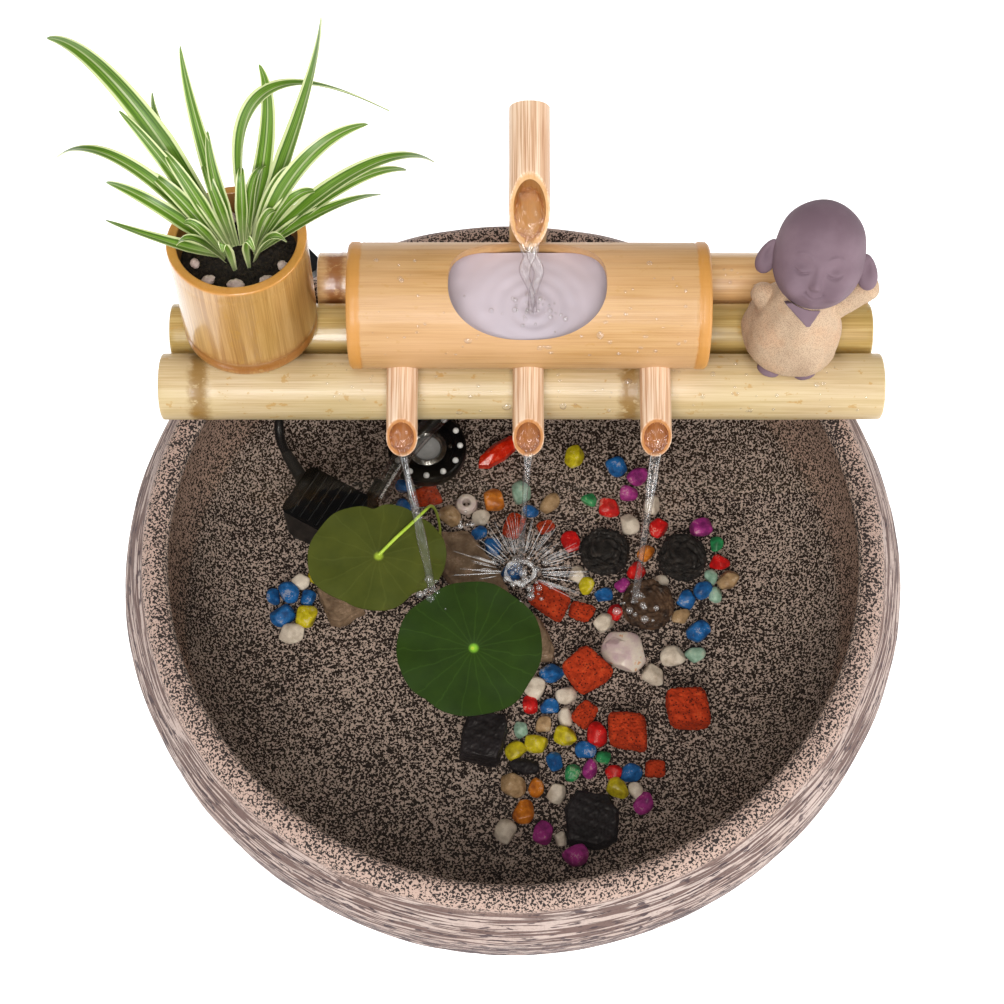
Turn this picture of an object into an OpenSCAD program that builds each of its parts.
// Tabletop water fountain: a stoneware basin with a bamboo raft across its rim.
// +Z is up, +X is right and -Y is the front. The origin is the centre of the basin's foot.

/* [Basin] */
// Widest diameter, across the belly
basin_d = 380; // [370:1:390]
// Height of the rim above the table
basin_h = 109.7; // [109:0.1:109.7]
// Height of the belly, where the basin is widest
belly_z = 82; // [76:1:86]
// Radius of the middle of the rounded rim
lip_r = 172.5; // [171:0.5:174]
// Thickness of the rounded rim
lip_w = 13; // [11:1:14]
// Radius of the flat foot
foot_r = 130; // [120:1:140]
// Thickness of the floor
floor_t = 12; // [10:1:12]
// Radius of the flat bed inside
bed_r = 130; // [126:1:132]

/* [Bamboo raft] */
// Radius of the front tube
front_r = 16.3; // [16:0.1:16.5]
// Radius of the middle tube
middle_r = 14.3; // [14:0.1:14.5]
// Radius of the rear tube
rear_r = 14.5; // [14:0.1:14.5]
// Wall of the raft tubes
tube_wall = 3.5; // [3:0.1:4]
// Radius of the cross dowels
dowel_r = 2; // [1.5:0.1:2.5]

/* [Trough] */
// Outer radius of the trough
trough_r = 29.85; // [29:0.05:30]
// Wall of the trough
trough_wall = 5; // [4:0.5:6]
// Left end of the trough
trough_x0 = -77; // [-80:0.5:-75]
// Right end of the trough
trough_x1 = 91; // [89:0.5:94]
// Length of the oval opening
oval_l = 73; // [70:1:76]
// Width of the oval opening
oval_w = 48; // [46:1:49]

/* [Spouts] */
// Outer radius of a small spout
spout_r = 7.5; // [7:0.1:7.6]
// Bore radius of a small spout
spout_bore = 4.9; // [4.5:0.1:5.2]
// Length from the trough's wall to the tip
spout_l = 41; // [36:1:44]
// Downward slope of the small spouts
spout_slope = 10; // [8:1:12]
// Slant of the cut at the tips
spout_cut = 46; // [40:1:55]

/* [Feed] */
// Outer radius of the upright
upright_r = 9.1; // [8.8:0.1:9.1]
// Outer radius of the feed spout
feed_r = 9.3; // [9:0.1:9.5]
// Bore radius of the upright and the feed spout
feed_bore = 6.2; // [6:0.1:6.4]
// Height of the feed spout above the table, over the upright
feed_z = 232; // [228:1:236]
// Downward slope of the feed spout
feed_slope = 14; // [10:1:18]
// Slant of the cut at the feed spout's tip
feed_cut = 32; // [30:1:40]

/* [Planter] */
// Outer radius of the planter cup
cup_r = 32.6; // [31:0.1:33]
// Height of the planter cup
cup_h = 62; // [58:1:64]
// Wall of the planter cup
cup_wall = 4.8; // [4:0.1:5.5]

/* [Figure] */
// Radius of the head
head_r = 21.6; // [20:0.2:22]
// Widest radius of the robe
robe_r = 24; // [22:0.5:24]

/* [Pump and mist maker] */
// Length of the pump housing
pump_l = 44; // [44:1:46]
// Width of the pump housing
pump_w = 30; // [29:1:32]
// Height of the pump housing
pump_h = 28; // [28:1:29]
// Radius of the mist maker's head
mist_r = 21; // [20.5:0.1:21.5]
// Height of the mist maker
mist_h = 22; // [20:1:22]

/* [Cord and hose] */
// Diameter of the pump's lead
cord_d = 5; // [4.5:0.1:5]
// Outer radius of the clear water hose
hose_r = 5; // [4.6:0.1:5.2]
// Wall of the clear water hose
hose_wall = 1.6; // [1.4:0.1:1.8]

/* [Hidden] */
$fn = 64;

gap = 0.3;                      // clearance between pieces that lift apart
nudge = 0.01;                   // lets a cut run past a face
belly_r = basin_d / 2;
lip_z = basin_h - lip_w / 2;
pool_z = 84.5;                  // height at which the two leaves float

// The raft: [y, z] of each tube's axis, with every tube lying on the rim
raft_z = basin_h + gap;
front_c = [73.2, raft_z + front_r];
middle_c = [104.8, raft_z + middle_r];
rear_c = [133.8, raft_z + rear_r];
front_x = [-170.5, 178.5];
middle_x = [-168, 176];
rear_x = [-97, 177];
dowel_x = [-80, 124];
dowel_z = raft_z + 15;

// Centre of a round piece of radius r that lies on the circles c1, r1 and c2, r2
function seat(c1, r1, c2, r2, r) = let (
    d = norm(c2 - c1), a = r1 + r, b = r2 + r,
    s = (d * d + a * a - b * b) / (2 * d), h = sqrt(a * a - s * s), e = (c2 - c1) / d)
    c1 + s * e + h * [-e[1], e[0]];
// Tilt of a flat base that lies on the front and middle tubes, and its height at a given y
base_tilt = asin((front_r - middle_r) / norm(middle_c - front_c))
    + atan((front_c[1] - middle_c[1]) / (middle_c[0] - front_c[0]));
function base_z(y) = (front_r + gap + sin(base_tilt) * (front_c[0] - y)) / cos(base_tilt) + front_c[1];

trough_c = seat(front_c, front_r, middle_c, middle_r, trough_r);
trough_end = 4;                 // depth of the recess beyond each end wall
septum_t = 4;                   // thickness of a node's wall inside a tube
oval_tilt = 8.3;                // the opening faces a little forwards
spout_angle = 120;              // where the spouts leave the trough, from its top
spout_root = trough_c + trough_r * [-sin(spout_angle), cos(spout_angle)];
spout_in = 13;                  // how far a spout reaches back into the trough
spout_xs = [-52.5, 7, 67];

feed_x = 7;
feed_back = 23;                 // feed spout's length behind the upright
feed_front = 40;                // and in front of it, to the tip
upright_z0 = rear_c[1] - 4.9;   // the upright stands on the rear tube's inner wall

cup_at = [-127.5, 102.3];
soil_drop = 13;                 // soil below the cup's rim
monk_at = [132.5, 89];
head_at = [140.2, 102.7, 199];

// The pump's own frame: +X along its shaft to the cover, at the foot of the housing
pump_at = [-93, 46, floor_t + 3.5];
pump_turn = -30;
shaft_z = 15;
well_r = 7;
volute_r = 11;
volute_l = 10;
nozzle = [13, 9, 24];
nozzle_rise = 10;

mist_at = [-45.5, 87, floor_t];
stem_r = 14;
lamp_ring = 17.7;
lamp_angles = [0 : 30 : 330];

// The lead's route, from the gland, up the wall, over the rim and down to the table
cord_r = cord_d / 2;
cord_route = [
    [-120, 81, 36], [-123, 87, 37], [-124.5, 94, 40], [-123, 100, 47], [-119, 105, 57],
    [-113.5, 110, 70], [-107.5, 114, 82], [-103.5, 117, 93], [-105, 119, 103], [-110, 124.5, 110.5],
    [-116.5, 132, 113], [-123, 139.5, 110.5], [-128, 145, 103], [-130, 147, 93], [-130.5, 147.5, 78],
    [-131, 148, 60], [-131, 148, 42], [-131, 148, 24], [-132.5, 150, 12.5], [-137.5, 155.5, 5.5],
    [-144, 163, 3], [-152, 172, 3], [-163.5, 185, 3.5]];
gland_from = [-109.5, 63.5, 36];
coil_at = [-150, 213];
coil_in = 21;                   // inner radius of the coil
coil_out = 31;                  // outer radius of the coil
coil_z = 1;                     // the tie lifts the coil this far
coil_h = 15;                    // three layers of cord
// The tail: from the coil's top turn round to the plug
tail_r = 20;
tail_z = coil_z + coil_h + cord_r;
plug_turn = -48.5;              // heading of the plug
plug_side = 16.5;               // distance of the plug's axis from the coil's centre
plug_relief = 10;
plug_l = 26;

// The hose's route, from the nozzle up into the upright
hose_route = [
    [-71, 53.5, 40.2], [-66.5, 61.5, 41.8], [-60, 72, 44], [-50, 84, 47.5], [-37, 97, 52],
    [-22, 110, 58], [-8, 121.5, 66], [2, 130, 77], [6.3, 133.3, 90], [7, 133.8, 104], [7, 133.8, 160],
    [7, 133.8, 215]];

// ---------- sweeps ----------

function unit(v) = v / norm(v);
function heading(p, i) = unit(p[min(i + 1, len(p) - 1)] - p[max(i - 1, 0)]);
// A point on the smooth curve through p, at t along the piece from p[i] to p[i + 1]
function smooth(p, i, t) = let (
    n = len(p) - 1, a = p[max(i - 1, 0)], b = p[i], c = p[min(i + 1, n)], d = p[min(i + 2, n)])
    0.5 * (2 * b + (c - a) * t + (2 * a - 5 * b + 4 * c - d) * t * t + (3 * b - a - 3 * c + d) * t * t * t);
function smooth_path(p, steps) = concat(
    [for (i = [0 : len(p) - 2]) for (k = [0 : steps - 1]) smooth(p, i, k / steps)], [p[len(p) - 1]]);
// A ring of n points of radius r round path point i; side is a direction the path never takes
function ring(p, i, r, n, side) = let (
    d = heading(p, i), u = unit(cross(d, side)), v = cross(d, u))
    [for (k = [0 : n - 1]) p[i] + r * (cos(360 * k / n) * u + sin(360 * k / n) * v)];
// Triangles between ring a and ring b of n points; flip turns them inside out
function band(a, b, n, flip) = [for (k = [0 : n - 1]) let (
    q = [a * n + k, a * n + (k + 1) % n, b * n + (k + 1) % n, b * n + k])
    for (t = [[0, 1, 2], [0, 2, 3]]) flip ? [q[t[0]], q[t[1]], q[t[2]]] : [q[t[2]], q[t[1]], q[t[0]]]];

module rod_along(p, r, n, side) {
    m = len(p);
    polyhedron(
        points = [for (i = [0 : m - 1]) each ring(p, i, r, n, side)],
        faces = concat([for (i = [0 : m - 2]) each band(i, i + 1, n, false)],
            [[for (k = [0 : n - 1]) k]], [[for (k = [0 : n - 1]) m * n - 1 - k]]));
}

module tube_along(p, r_out, r_in, n, side) {
    m = len(p);
    polyhedron(
        points = [each for (i = [0 : m - 1]) ring(p, i, r_out, n, side),
            each for (i = [0 : m - 1]) ring(p, i, r_in, n, side)],
        faces = concat([for (i = [0 : m - 2]) each band(i, i + 1, n, false)],
            [for (i = [0 : m - 2]) each band(m + i, m + i + 1, n, true)],
            band(0, m, n, true), band(m - 1, 2 * m - 1, n, false)));
}

// ---------- basin ----------

// Outline of the basin: foot, belly, rounded rim, inner wall and floor
lower_wall = [for (i = [0 : 14]) let (s = pow(i / 14, 1.7))
    [foot_r + (belly_r - foot_r) * pow(1 - pow(1 - s, 2.3), 1 / 2.1), 3 + (belly_z - 3) * s]];
upper_wall = [for (i = [1 : 6]) let (s = i / 6)
    [belly_r - (belly_r - lip_r - lip_w / 2) * s * s, belly_z + (lip_z - belly_z) * s]];
rim = [for (a = [15 : 15 : 165]) [lip_r + lip_w / 2 * cos(a), lip_z + lip_w / 2 * sin(a)]];
inner_r = belly_r - lip_w;
inner_z = belly_z - 4;
bed_curve = 2.2;                // how fast the wall rises out of the bed
inner_upper = [for (i = [0 : 5]) let (s = 1 - i / 5)
    [inner_r - (inner_r - lip_r + lip_w / 2) * s * s, inner_z + (lip_z - inner_z) * s]];
inner_lower = [for (i = [1 : 14]) let (s = pow(1 - i / 14, 1.7))
    [bed_r + (inner_r - bed_r) * sqrt(1 - pow(1 - s, bed_curve)), floor_t + (inner_z - floor_t) * s]];

// Height of the bed and the wall's foot at radius r
function bed_z(r) = floor_t + (inner_z - floor_t)
    * (1 - pow(1 - pow(max(0, r - bed_r) / (inner_r - bed_r), 2), 1 / bed_curve));

module basin() {
    color("rosybrown") difference() {
        rotate_extrude($fn = 96)
            polygon(concat([[0, 0], [foot_r - 3, 0]], lower_wall, upper_wall, rim, inner_upper, inner_lower,
                [[0, floor_t]]));
        // The ring groove under the foot
        translate([0, 0, -1]) difference() {
            cylinder(h = 3, r = 112);
            translate([0, 0, -1]) cylinder(h = 5, r = 96);
        }
    }
}

// ---------- bamboo ----------

// A hollow length of bamboo on +X from the origin, with rounded ends and septa at the given places
module bamboo(l, r, wall, septa) {
    rotate([0, 90, 0]) {
        rotate_extrude() polygon([
            [r - wall, 0], [r - 1.2, 0], [r, 1.2], [r, l - 1.2], [r - 1.2, l], [r - wall, l]]);
        for (s = septa) translate([0, 0, s]) cylinder(h = septum_t, r = r - wall + nudge);
    }
}

module raft_tube(c, xs, r, septa, far_wall) {
    color("burlywood") difference() {
        translate([xs[0], c[0], c[1]]) bamboo(xs[1] - xs[0], r, tube_wall, [for (s = septa) s - xs[0]]);
        for (x = dowel_x) translate([x, far_wall[0], dowel_z]) rotate([-90, 0, 0])
            cylinder(h = far_wall[1] - far_wall[0], r = dowel_r);
    }
}

module raft_tube_front()
    raft_tube(front_c, front_x, front_r, [-151, 56], [front_c[0], front_c[0] + 30]);

module raft_tube_middle()
    raft_tube(middle_c, middle_x, middle_r, [-44], [middle_c[0] - 30, middle_c[0] + 30]);

module raft_tube_rear() {
    difference() {
        raft_tube(rear_c, rear_x, rear_r, [-88, 92], [rear_c[0] - 30, rear_c[0]]);
        // The upright stands in the upper hole, and the hose passes the lower one
        color("burlywood") translate([feed_x, rear_c[0], rear_c[1]]) cylinder(h = 30, r = upright_r + 0.1);
        color("burlywood") translate([feed_x, rear_c[0], rear_c[1] - 30]) cylinder(h = 30, r = hose_r + 0.8);
    }
}

module raft_dowels() {
    color("tan") for (x = dowel_x) translate([x, front_c[0] + 6, dowel_z]) rotate([-90, 0, 0])
        cylinder(h = rear_c[0] - front_c[0] - 12, r = dowel_r);
}

// Brings a piece made on +Z to a small spout's axis
module on_spout_axis(x)
    translate([x, spout_root[0], spout_root[1]]) rotate([90 + spout_slope, 0, 0]) children();

module oval() {
    corner = 21;
    square([oval_l - 2 * corner, oval_w], center = true);
    square([oval_l, oval_w - 2 * corner], center = true);
    for (x = [-1, 1], y = [-1, 1]) translate([x * (oval_l / 2 - corner), y * (oval_w / 2 - corner)])
        circle(r = corner);
}

module trough() {
    l = trough_x1 - trough_x0;
    r_in = trough_r - trough_wall;
    color("burlywood") difference() {
        translate([trough_x0, trough_c[0], trough_c[1]]) rotate([0, 90, 0]) rotate_extrude()
            polygon([[0, trough_end], [r_in, trough_end], [r_in, 0], [trough_r - 1.5, 0], [trough_r, 1.5],
                [trough_r, 5], [trough_r - 0.7, 5.7], [trough_r, 6.5], [trough_r, l - 6.5],
                [trough_r - 0.7, l - 5.7], [trough_r, l - 5], [trough_r, l - 1.5], [trough_r - 1.5, l],
                [r_in, l], [r_in, l - trough_end], [0, l - trough_end]]);
        translate([trough_x0 + trough_end + septum_t, trough_c[0], trough_c[1]]) rotate([0, 90, 0])
            cylinder(h = l - 2 * (trough_end + septum_t), r = r_in);
        translate([(trough_x0 + trough_x1) / 2 - 0.75, trough_c[0], trough_c[1]]) rotate([oval_tilt, 0, 0])
            linear_extrude(height = 40) oval();
        for (x = spout_xs) on_spout_axis(x) translate([0, 0, -spout_in]) cylinder(h = 30, r = spout_r);
    }
}

// A spout on +Z from z0 to its tip at z1, cut on a slant that opens upwards, on the side of -Y
module slant_tube(z0, z1, r, bore, cut) {
    difference() {
        translate([0, 0, z0]) cylinder(h = z1 - z0, r = r);
        translate([0, 0, z0 - 1]) cylinder(h = z1 - z0 + 2, r = bore);
        translate([0, -r, z1]) rotate([-cut, 0, 0]) translate([-50, -1, 0]) cube([100, 200, 100]);
    }
}

module spout(x) color("navajowhite") on_spout_axis(x)
    slant_tube(-spout_in + 4, spout_l, spout_r, spout_bore, 90 - spout_cut);

module spout_left() spout(spout_xs[0]);

module spout_centre() spout(spout_xs[1]);

module spout_right() spout(spout_xs[2]);

module on_feed_axis() translate([feed_x, rear_c[0], feed_z]) rotate([90 + feed_slope, 0, 0]) children();

module feed_upright() {
    color("burlywood") difference() {
        translate([feed_x, rear_c[0], upright_z0]) cylinder(h = feed_z - upright_z0, r = upright_r);
        translate([feed_x, rear_c[0], upright_z0 - 1]) cylinder(h = feed_z, r = feed_bore);
        on_feed_axis() translate([0, 0, -40]) cylinder(h = 80, r = feed_r);
    }
}

module feed_spout() {
    color("navajowhite") difference() {
        union() {
            on_feed_axis() slant_tube(-feed_back, feed_front, feed_r, feed_bore, 90 - feed_cut);
            on_feed_axis() translate([0, 0, -feed_back + 6]) cylinder(h = septum_t, r = feed_bore + nudge);
        }
        // The bore that meets the upright
        translate([feed_x, rear_c[0], feed_z - 25]) cylinder(h = 25, r = feed_bore - 0.6);
    }
}

// ---------- planter ----------

// Brings a piece made on +Z to the tilted base that lies on the front and middle tubes
module on_base(at) translate([at[0], at[1], base_z(at[1])]) rotate([-base_tilt, 0, 0]) children();

module planter_cup() {
    color("peru") on_base(cup_at) rotate_extrude()
        polygon([[0, 0], [cup_r - 1.5, 0], [cup_r, 1.5], [cup_r, 4.5], [cup_r - 0.9, 5.4], [cup_r, 6.4],
            [cup_r + 0.4, cup_h - 1.5], [cup_r - 1, cup_h], [cup_r - cup_wall + 1, cup_h],
            [cup_r - cup_wall, cup_h - 1], [cup_r - cup_wall, 7], [0, 7]]);
}

module planter_soil() {
    r = cup_r - cup_wall;
    color("darkolivegreen") on_base(cup_at) translate([0, 0, 7]) rotate_extrude()
        polygon([[0, 0], [r, 0], [r, cup_h - soil_drop - 9], [r - 8, cup_h - soil_drop - 8],
            [0, cup_h - soil_drop - 7]]);
}

// A rounded stone of length l, width w and height h on the xy plane, turned about Z
module pebble(l, w, h, turn) rotate([0, 0, turn]) translate([0, 0, h * 0.462]) scale([l / 2, w / 2, h / 2])
    sphere(r = 1, $fn = 8);

module planter_stones() {
    spots = [[0, -20, 9], [14, -17, 8], [-13, -16, 7], [21, -8, 7], [-20, -6, 6], [9, 19, 7], [-6, 21, 8]];
    color("mistyrose") on_base(cup_at) for (s = spots) translate([s[0], s[1], cup_h - soil_drop + 0.6])
        pebble(s[2], s[2] * 0.8, s[2] * 0.7, 40 * s[0]);
}

// Each leaf: tip, handle that its curve bends towards, width at its widest, all from the crown
crown = [cup_at[0], cup_at[1] + 6, base_z(cup_at[1]) + 48];
blades = [
    [[-84, 77, 63], [-46, 45, 104], 13], [[-18, 53, 88], [-17, 37, 62], 9],
    [[-34, 47, 63], [-37, 34, 44], 9], [[45, 52, 108], [42, 46, 74], 12],
    [[16, 47, 83], [23, 46, 54], 10], [[71, 48, 48], [33, 60, 126], 10],
    [[62, 37, 53], [34, 13, 79], 11], [[91, 34, 28], [69, 14, 82], 11],
    [[78, 33, 23], [60, 11, 64], 8], [[66, 23, 18], [46, -2, 53], 9],
    [[-80, 30, 38], [-47, 16, 87], 10], [[-59, 23, 28], [-36, 2, 52], 9],
    [[-60, 9, 18], [-31, -11, 31], 8], [[-48, 37, 63], [-31, 19, 64], 8],
    [[4, 24, 38], [6, 12, 52], 7], [[-14, 28, 36], [-10, 14, 46], 7],
    [[20, 8, 26], [16, 2, 44], 7], [[10, -10, 22], [6, -6, 40], 6],
    [[-22, 2, 26], [-16, -4, 42], 7], [[30, 22, 40], [22, 18, 52], 8]];

function leaf_point(b, t) = let (out = 7 * unit([b[0][0], b[0][1], 0]))
    (1 - t) * (1 - t) * out + 2 * t * (1 - t) * b[1] + t * t * b[0];
// Half the width of a leaf at t: a narrow foot, widest near a third, then a long point
function leaf_half(w, t) = w / 2 * (0.35 + 0.65 * min(1, t / 0.3)) * pow(1 - t, 0.6) + 0.15;

// A strap leaf with a shallow keel: four points a ring, 0.9 mm thick
module blade(b) {
    rings = 9;
    across = unit(cross([b[0][0], b[0][1], 0], [0, 0, 1]));
    polyhedron(
        points = [for (i = [0 : rings]) let (t = i / rings, c = leaf_point(b, t), h = leaf_half(b[2], t))
            each [c - h * across, c - [0, 0, 0.9], c + h * across, c]],
        faces = concat([[3, 2, 1, 0]], [for (i = [0 : rings - 1]) each band(i, i + 1, 4, true)],
            [[for (k = [0 : 3]) 4 * rings + k]]));
}

module spider_plant() color("yellowgreen") translate(crown) for (b = blades) blade(b);

// ---------- figure ----------

robe_lean = 5;

module on_monk() on_base(monk_at) children();

module on_head() translate(head_at) rotate([-40, 0, -11]) children();

module head_egg() on_head() rotate_extrude()
    polygon([for (a = [-90 : 10 : 90]) [head_r * cos(a) * (1 - 0.06 * sin(a)), 26 * sin(a)]]);

module collar_wedge() translate([135.3, 83.5, 181.5]) rotate([50, 0, 8])
    linear_extrude(height = 4) polygon([[-10.5, 6], [10.5, 6], [0.8, -7], [-0.8, -7]]);

module monk_robe() {
    color("tan") difference() {
        union() {
            on_monk() rotate([0, robe_lean, 0]) translate([0, 0, 2]) rotate_extrude()
                polygon([[0, 0], [robe_r - 5, 0], [robe_r - 2.5, 2], [robe_r - 0.6, 7],
                    [robe_r, 13], [robe_r - 1, 20], [robe_r - 4, 27], [robe_r - 8, 34],
                    [robe_r - 11, 40], [robe_r - 14, 45], [0, 46]]);
            hull() {
                translate([117.5, 98, 172]) sphere(r = 4.8, $fn = 24);
                translate([126, 94, 163]) sphere(r = 9, $fn = 24);
            }
            hull() {
                translate([164.3, 95.5, 182]) sphere(r = 6.6, $fn = 24);
                translate([147, 94, 168]) sphere(r = 9, $fn = 24);
            }
        }
        head_egg();
        ears();
        collar_wedge();
        on_monk() translate([-60, -60, -20]) cube([120, 120, 20]);
        monk_shoes();
    }
}

module ear(side) on_head() translate([side * (head_r + 1.4), 0, -4.5]) rotate([0, -14 * side, 0])
    rotate_extrude($fn = 32)
        polygon([for (a = [-90 : 15 : 90]) [4.5 * cos(a) * (1 - 0.25 * sin(a)), 8.6 * sin(a)]]);

module ears() {
    ear(-1);
    ear(1);
}

module monk_head() color("dimgray") union() {
    head_egg();
    ears();
}

module monk_collar() color("dimgray") difference() {
    collar_wedge();
    head_egg();
}

// The toes of two shoes under the hem
module monk_shoes() on_monk() for (a = [-123, -69]) rotate([0, 0, a]) translate([19, 0, 0]) intersection() {
    scale([0.75, 1.05, 0.7]) sphere(r = 5.5, $fn = 32);
    translate([-8, -8, 0]) cube([16, 16, 5]);
}

module monk_feet() color("dimgray") monk_shoes();

// ---------- pump ----------

module on_pump() translate(pump_at) rotate([0, 0, pump_turn]) children();

// Brings a piece made on +Z to a line along the pump's shaft, from x
module on_shaft(x) translate([x, 0, shaft_z]) rotate([0, 90, 0]) children();

module rounded_block(x0, x1, w, h, r) translate([x0, -w / 2, 0]) linear_extrude(height = h) {
    translate([r, 0]) square([x1 - x0 - 2 * r, w]);
    translate([0, r]) square([x1 - x0, w - 2 * r]);
    for (x = [r, x1 - x0 - r], y = [r, w - r]) translate([x, y]) circle(r = r);
}

pump_x0 = -24;                  // back of the housing
pump_x1 = pump_x0 + pump_l;     // front of the housing

module on_nozzle() translate(nozzle) rotate([-90 + nozzle_rise, 0, 0]) children();

module pump_housing() {
    color("black") on_pump() difference() {
        union() {
            rounded_block(pump_x0, pump_x1, pump_w, pump_h, 4);
            on_nozzle() cylinder(h = 17, r = hose_r - hose_wall);
        }
        on_shaft(pump_x1 - volute_l) cylinder(h = volute_l + 1, r = volute_r);
        on_shaft(-10) cylinder(h = 22, r = well_r);
        on_nozzle() cylinder(h = 20, r = 2);
        on_shaft(-12) cylinder(h = 5, r = 1);
        translate([-21, -11, -1]) cube([27, 22, 8]);
    }
}

module pump_winding() color("sienna") on_pump() translate([-7.5, 0, 4]) rotate([0, 90, 0]) difference() {
    translate([0, 0, -11]) cylinder(h = 22, r = 2.8);
    translate([0, 0, -12]) cylinder(h = 24, r = 0.8);
}

module pump_base_plate() color("dimgray") on_pump() translate([-21, -11, 0]) cube([27, 22, 1]);

module pump_feet() color("dimgray") on_pump() for (x = [-18, 14], y = [-10, 10]) translate([x, y, -3.5])
    rotate_extrude($fn = 32)
        polygon([[0, 1.2], [3, 0.6], [4.6, 0], [5, 0.5], [2.2, 2.2], [1.8, 3.5], [0, 3.5]]);

module pump_shaft() color("white") on_pump() on_shaft(-12) cylinder(h = 29, r = 1);

module pump_impeller() color("gray") on_pump() difference() {
    union() {
        on_shaft(-9.5) cylinder(h = 20, r = well_r - 0.5);
        on_shaft(10.5) cylinder(h = 1.5, r = volute_r - 1.5);
        for (a = [0 : 60 : 300]) on_shaft(12) rotate([0, 0, a]) translate([0, -0.6, 0])
            cube([volute_r - 2, 1.2, 4]);
        on_shaft(11) cylinder(h = 5, r = 3);
    }
    on_shaft(-10) cylinder(h = 30, r = 1.06);
}

module pump_cover() {
    color("black") on_pump() difference() {
        translate([pump_x1 + gap, 0, 0]) rounded_block(0, 7, pump_w, pump_h, 3);
        // Intake hole, its slots, and the recess round the shaft's end
        on_shaft(pump_x1) cylinder(h = 10, r = 3.5);
        for (z = [4, 24.5]) translate([pump_x1, -8, z - 1]) cube([10, 16, 2]);
    }
}

module flow_regulator() {
    color("dimgray") on_pump() translate([pump_x1 + 2 * gap + 7, -3, shaft_z - 5]) difference() {
        cube([2, 12, 10]);
        translate([-1, 8, 5]) rotate([0, 90, 0]) cylinder(h = 4, r = 2);
    }
}

module pump_gland() {
    d = cord_route[0] - gland_from;
    color("black") translate(gland_from) rotate([0, 90, atan2(d[1], d[0])]) rotate_extrude()
        polygon([[0, 0], [4.6, 0], [4.4, 3], [3.4, 4.5], [3.6, 6], [2.9, norm(d)], [0, norm(d)]]);
}

module water_hose() color("gainsboro", 0.4)
    tube_along(smooth_path(hose_route, 3), hose_r, hose_r - hose_wall, 12, [-0.7, 0.7, 0]);

// ---------- the lead ----------

module cord_run() color("black") rod_along(smooth_path(cord_route, 3), cord_r, 8, [0.75, 0.66, 0.05]);

module cord_coil() color("black") translate([coil_at[0], coil_at[1], coil_z]) rotate_extrude()
    translate([coil_in, 0]) square([coil_out - coil_in, coil_h]);

// Brings a piece made on +X to the plug's line, from where the tail meets it
module on_plug() translate([coil_at[0], coil_at[1], tail_z]) rotate([0, 0, plug_turn])
    translate([0, plug_side, 0]) children();

module cord_tail() color("black") on_plug() translate([0, -tail_r, 0])
    rotate([0, 0, 90]) rotate_extrude(angle = 170) translate([tail_r, 0]) circle(r = cord_r, $fn = 24);

module cord_tie() color("dimgray") translate([coil_at[0] - 1.5, coil_at[1] + coil_in - 1.2, 0]) difference() {
    cube([3, coil_out - coil_in + 2.4, coil_h + 2]);
    translate([-1, 1, 1]) cube([5, coil_out - coil_in + 0.4, coil_h]);
}

module plug_body() {
    color("black") on_plug() {
        // The strain relief, flat where it lies on the coil
        difference() {
            rotate([0, 90, 0]) cylinder(h = plug_relief, r1 = cord_r + 0.2, r2 = 4.2);
            translate([-1, -5, -cord_r - 3]) cube([plug_relief + 2, 10, 3]);
        }
        translate([plug_relief, -11, -cord_r]) difference() {
            cube([plug_l, 22, 12]);
            for (y = [11 - 6.35, 11 + 6.35]) translate([plug_l - 4, y - 0.75, 1.4]) cube([5, 1.5, 6.3]);
        }
    }
}

module plug_pins() color("silver") on_plug() for (y = [-6.35, 6.35])
    translate([plug_relief + plug_l - 4, y - 0.75, 1.4 - cord_r]) cube([19, 1.5, 6.3]);

// ---------- mist maker ----------

module on_mist() translate(mist_at) children();

module mist_body() {
    color("black") on_mist() difference() {
        // A foot, a wide head with a dished top, and the seat of the disc
        rotate_extrude()
            polygon([[0, 0], [stem_r - 1, 0], [stem_r, 1], [stem_r, 10], [mist_r - 1, mist_h - 8],
                [mist_r, mist_h - 7], [mist_r, mist_h - 1.5], [mist_r - 1.5, mist_h], [14.6, mist_h],
                [13.8, mist_h - 2.5], [11, mist_h - 2.5], [9.5, mist_h - 4], [9.5, mist_h - 5.5],
                [0, mist_h - 5.5]]);
        for (a = lamp_angles) rotate([0, 0, a]) translate([lamp_ring, 0, mist_h - 3])
            cylinder(h = 5, r = 1.7);
        translate([12.4, 0, mist_h - 7]) cylinder(h = 8, r = 1);
        translate([0, stem_r - 3, 6]) rotate([-90, 0, 0]) cylinder(h = 10, r = 3.5);
    }
}

module mist_lamps() color("white") on_mist() for (a = lamp_angles)
    rotate([0, 0, a]) translate([lamp_ring, 0, mist_h - 3]) rotate_extrude($fn = 24)
        polygon([[0, 0], [1.7, 0], [1.7, 3], [1.5, 3.9], [0.9, 4.6], [0, 4.8]]);

module mist_seal() color("dimgray") on_mist() translate([0, 0, mist_h - 5.5]) difference() {
    cylinder(h = 0.7, r = 9.5);
    translate([0, 0, -1]) cylinder(h = 3, r = 6);
}

module mist_disc() color("gainsboro") on_mist() translate([0, 0, mist_h - 4.8]) cylinder(h = 0.8, r = 9.4);

module mist_ring() color("dimgray") on_mist() translate([0, 0, mist_h - 4]) rotate_extrude()
    polygon([[7, 0], [9.4, 0], [9.4, 0.4], [10.6, 1.6], [8.2, 2.4], [7, 1.2]]);

module mist_level_pin() color("silver") on_mist() translate([12.4, 0, mist_h - 7]) cylinder(h = 6.5, r = 1);

module mist_gland() color("black") on_mist() translate([0, stem_r - 3, 6]) rotate([-90, 0, 0])
    rotate_extrude($fn = 32) polygon([[0, 0], [3.5, 0], [3.5, 5], [3, 6], [2.4, 12], [0, 12]]);

// ---------- stones, laid out by eye on the basin's floor ----------

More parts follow.
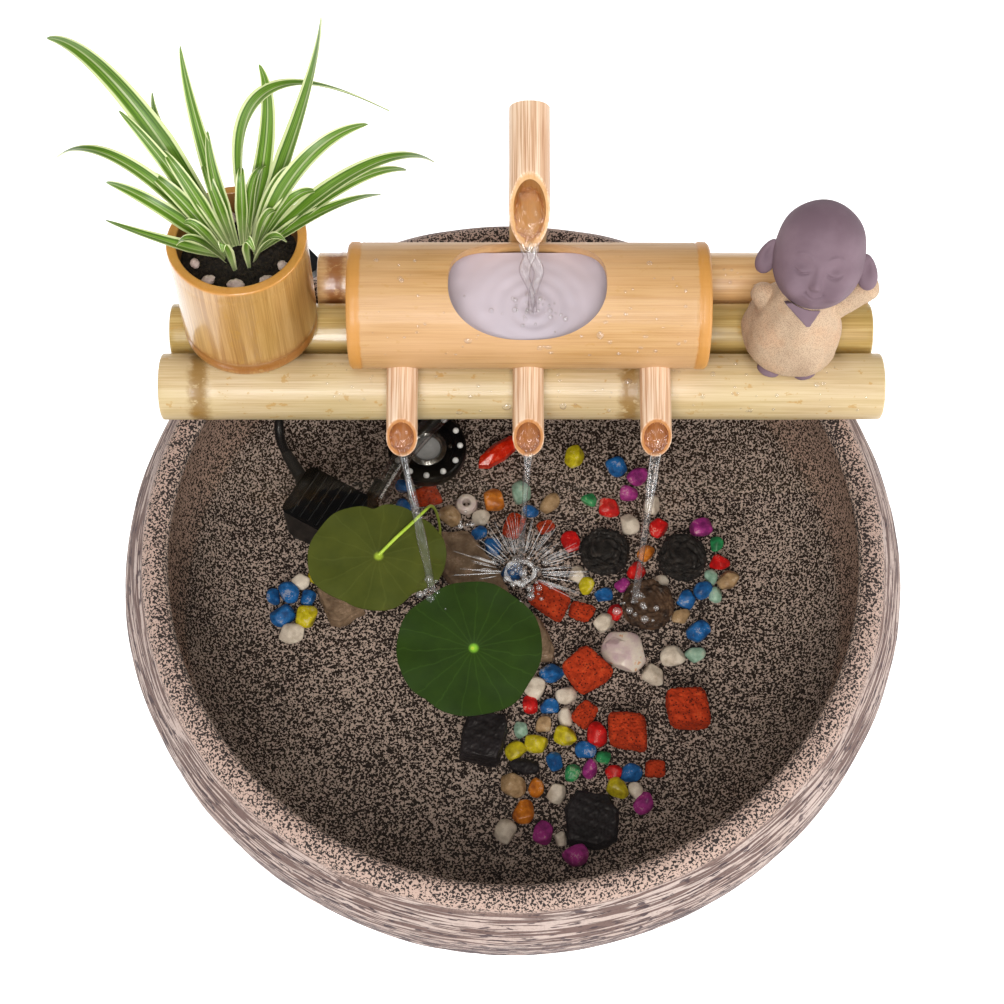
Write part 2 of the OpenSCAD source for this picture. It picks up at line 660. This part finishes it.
// Pebbles, each [x, y, length, turn]
module pebbles(spots, tone) color(tone) for (s = spots)
    translate([s[0], s[1], bed_z(norm([s[0], s[1]]) + s[2] / 2)]) pebble(s[2], s[2] * 0.78, s[2] * 0.7, s[3]);

module blue_pebbles() pebbles([
    [57, 83, 11, 120], [48, 9, 9, 0], [92, 6, 10, 60], [100.5, 11.5, 10, 20], [97, -12, 12, 50],
    [0, 21.5, 11, 20], [-10, 36, 10, 100], [-17.5, 44.5, 8, 30], [10, 57, 8, 0], [-59, 72, 8, 0],
    [-58, 60, 8, 160], [21, -82, 9, 100], [60, -88, 10, 0], [20, -35, 11, 40], [19, -53, 9, 0],
    [37, -76, 10, 0], [-126, 8, 8, 100], [-117.5, 9.5, 11.5, 135], [-107.5, 7, 8.5, 70],
    [-120, -4, 12, 30]], "royalblue");

module red_pebbles() pebbles([
    [52, 58, 11, 160], [78, 47, 11, 40], [31, 39, 11, 120], [110, 27, 10, 0], [66, 22, 10, 60],
    [54, -1, 9, 60], [43, -68, 12, 90], [51, -88, 8, 0], [9, -52, 9, 100]], "crimson");

module yellow_pebbles() pebbles([
    [34, 89, 12, 80], [39, 14, 9, 60], [1, -76.5, 10, 40], [12, -73, 11, 0], [27, -69, 11, 160],
    [53, -96, 11, 150], [-108, -3.5, 12, 60], [-105, 19, 7, 100]], "gold");

module green_pebbles() pebbles([
    [42, 64, 8, 140], [109, 38, 8, 100], [30, -88, 9, 60], [46, -80, 7, 0]], "mediumseagreen");

module magenta_pebbles() pebbles([
    [68, 78, 11, 30], [63, 68, 9, 0], [101, 47, 11, 20], [39, -86, 9, 90], [66, -104, 11, 60],
    [15, -119, 11, 80], [31, -131, 12, 10], [58.5, 14, 8, 20]], "mediumvioletred");

module orange_pebbles() pebbles([
    [71, 33, 9, 60], [-10, 64, 12, 100], [6, -109, 12, 60], [12, -96, 9, 70]], "darkorange");

module white_pebbles() pebbles([
    [63, 49, 11, 100], [75, 60, 10, 90], [48, -7, 10, 40], [34.5, 21, 9, 70], [83, -26, 12, 0],
    [73, -36, 11, 150], [-16.5, 53, 9, 10], [22, -99, 10, 60], [-4, -118, 11, 60], [24, -122, 7, 110],
    [62, -97, 8, 130], [12, -43, 11, 60], [27.5, -47, 10, 30], [27, -59, 9, 120], [-115, -14, 12, 0],
    [-111.5, 16, 8.5, 150], [79, 17, 7, 0]], "seashell");

module mint_pebbles() pebbles([
    [105, 19, 8, 90], [107, 9, 8, 80], [95, -25, 10, 20], [5, 68, 12, 90], [4, -65, 8, 100]], "aquamarine");

module tan_pebbles() pebbles([
    [114, 17, 11, 60], [88, -3.5, 9, 60], [20, 61, 11, 30], [16, -62, 9, 80], [-33, 54, 12, 140],
    [0, -95, 13, 150]], "tan");

// A block of side s with its corners planed off, standing on the floor
module block(at, s, h, turn) translate([at[0], at[1], floor_t]) rotate([0, 0, turn]) intersection() {
    translate([-s / 2, -s / 2, 0]) cube([s, s, h]);
    rotate([0, 0, 45]) translate([-0.62 * s, -0.62 * s, 0]) cube([1.24 * s, 1.24 * s, h]);
    translate([0, 0, h / 2]) rotate([45, 0, 0]) cube([2 * s, 1.24 * h, 1.24 * h], center = true);
    translate([0, 0, h / 2]) rotate([0, 45, 0]) cube([1.24 * h, 2 * s, 1.24 * h], center = true);
}

module lava_cubes() color("orangered") {
    block([38, -36], 21, 18, 42);
    block([89, -56], 21, 18, 8);
    block([58, -68], 20, 18, 2);
}

module lava_scraps() {
    color("orangered") translate([0, 0, floor_t]) {
        translate([19, 5, 0]) pebble(24, 17, 11, 150);
        translate([36, -1, 0]) pebble(15, 10, 8, 160);
        translate([37, -58, 0]) pebble(14, 11, 10, 50);
        translate([-46, 65, 0]) pebble(16, 12, 9, 20);
        translate([72, -86, 0]) pebble(11, 10, 8, 0);
        translate([1, 48, 0]) pebble(15, 11, 7, 70);
        translate([18, 48, 0]) pebble(10, 7, 6, 30);
    }
}

// A flat round stone of radius r and height h with a rounded edge
module disc_stone(at, r, h) translate([at[0], at[1], floor_t]) rotate_extrude($fn = 40)
    polygon(concat([[0, 0], [r - h / 2, 0]],
        [for (a = [-60 : 30 : 60]) [r - h / 2 + h / 2 * cos(a), h / 2 + h / 2 * sin(a)]],
        [[r - h / 2, h], [0, h]]));

module lava_discs() color("dimgray") {
    disc_stone([49, 32.5], 13.5, 10);
    disc_stone([90, 29], 13.4, 11);
    disc_stone([71, 2], 13.8, 12);
}

// A flat slab with a planed edge: its outline is narrower at the top
module slab(outline, h) {
    linear_extrude(height = h * 0.7) polygon(outline);
    translate([0, 0, h * 0.7 - nudge]) linear_extrude(height = h * 0.3)
        polygon([for (p = outline) p * 0.93]);
}

module flat_stone() color("rosybrown") {
    translate([-12, 10, floor_t]) slab([[-32, 20], [-27, 34], [-12, 35], [-4, 26], [2, 17], [7, 8],
        [14, -6], [27, -16], [34, -32], [33, -38], [25, -38], [8, -36], [-6, -16], [-22, 6]], 7);
    translate([-90, 3, floor_t]) slab([[-13, 7.5], [-5, -11], [0, -12.5], [13, -4], [6, 9], [-6, 13]], 9);
}

module dark_stones() color("darkslategray") {
    translate([-12, -71, floor_t]) rotate([0, 0, -8])
        slab([[-13, -12], [6, -13], [9, 4], [7, 12], [-12, 13], [-14, 0]], 14);
    translate([40, -111, bed_z(138)])
        slab([[-13, -14], [2, -17], [12, -12], [13, 2], [8, 11], [-8, 13], [-14, 4]], 8);
    translate([6, -85, floor_t]) pebble(17, 9, 7, 170);
}

module shell_stone() {
    color("linen") translate([58, -24, floor_t]) pebble(23, 18, 13, 160);
    // A ring bead
    color("linen") translate([-24.5, 61, floor_t]) rotate_extrude($fn = 32)
        polygon([[2.2, 0.5], [4.5, 0], [6, 2.4], [5.2, 5.4], [3, 6.2], [2.2, 5.6]]);
}

module toy_fish() {
    color("red") translate([-7, 91, floor_t]) {
        pebble(31, 11, 12, 38);
        translate([16, 12, 4.5]) rotate([90, 0, 38 + 90]) translate([0, 0, -0.8])
            linear_extrude(height = 1.6) polygon([[-2, -2], [-2, 3], [8, 8], [6, 0], [8, -4]]);
    }
}

// ---------- floating leaves ----------

// A round leaf of radii rx and ry with a notch towards +Y, its stem held at the given top and foot
module pad_leaf(at, rx, ry, notch) translate([at[0], at[1], pool_z]) linear_extrude(height = 0.9)
    difference() {
        polygon([for (a = [0 : 10 : 350]) let (w = 1 + 0.012 * cos(9 * a))
            [rx * w * cos(a), ry * w * sin(a)]]);
        if (notch) polygon([[-1, ry + 4], [1.5, ry + 4], [0.4, ry - 7]]);
    }

module leaf_left() color("olivedrab") {
    pad_leaf([-67, 1], 34, 28.5, true);
    rod_along([[-66.6, 0.4, pool_z + 0.4], [-58, 9, pool_z + 3.5], [-50, 17, pool_z + 4], [-44, 25, pool_z + 1],
        [-41, 32, pool_z - 8], [-39, 36, 60], [-38, 38, 40], [-38, 38, 26]], 0.7, 8, [0.7, -0.7, 0.1]);
}

module leaf_front() color("forestgreen") {
    pad_leaf([-21, -47], 35, 34.5, false);
    rod_along([[-21, -47, pool_z], [-22, -48, 76], [-26, -50, 60], [-30, -51, 40], [-33, -51, floor_t]],
        0.8, 8, [0.1, 1, 0]);
}

basin();
raft_tube_front();
raft_tube_middle();
raft_tube_rear();
raft_dowels();
trough();
spout_left();
spout_centre();
spout_right();
feed_upright();
feed_spout();
planter_cup();
planter_soil();
planter_stones();
spider_plant();
monk_robe();
monk_head();
monk_collar();
monk_feet();
pump_housing();
pump_cover();
pump_impeller();
pump_shaft();
pump_winding();
pump_base_plate();
pump_feet();
flow_regulator();
pump_gland();
water_hose();
cord_run();
cord_coil();
cord_tail();
cord_tie();
plug_body();
plug_pins();
mist_body();
mist_lamps();
mist_disc();
mist_seal();
mist_ring();
mist_level_pin();
mist_gland();
blue_pebbles();
red_pebbles();
yellow_pebbles();
green_pebbles();
magenta_pebbles();
orange_pebbles();
white_pebbles();
mint_pebbles();
tan_pebbles();
lava_cubes();
lava_scraps();
lava_discs();
flat_stone();
dark_stones();
shell_stone();
toy_fish();
leaf_left();
leaf_front();
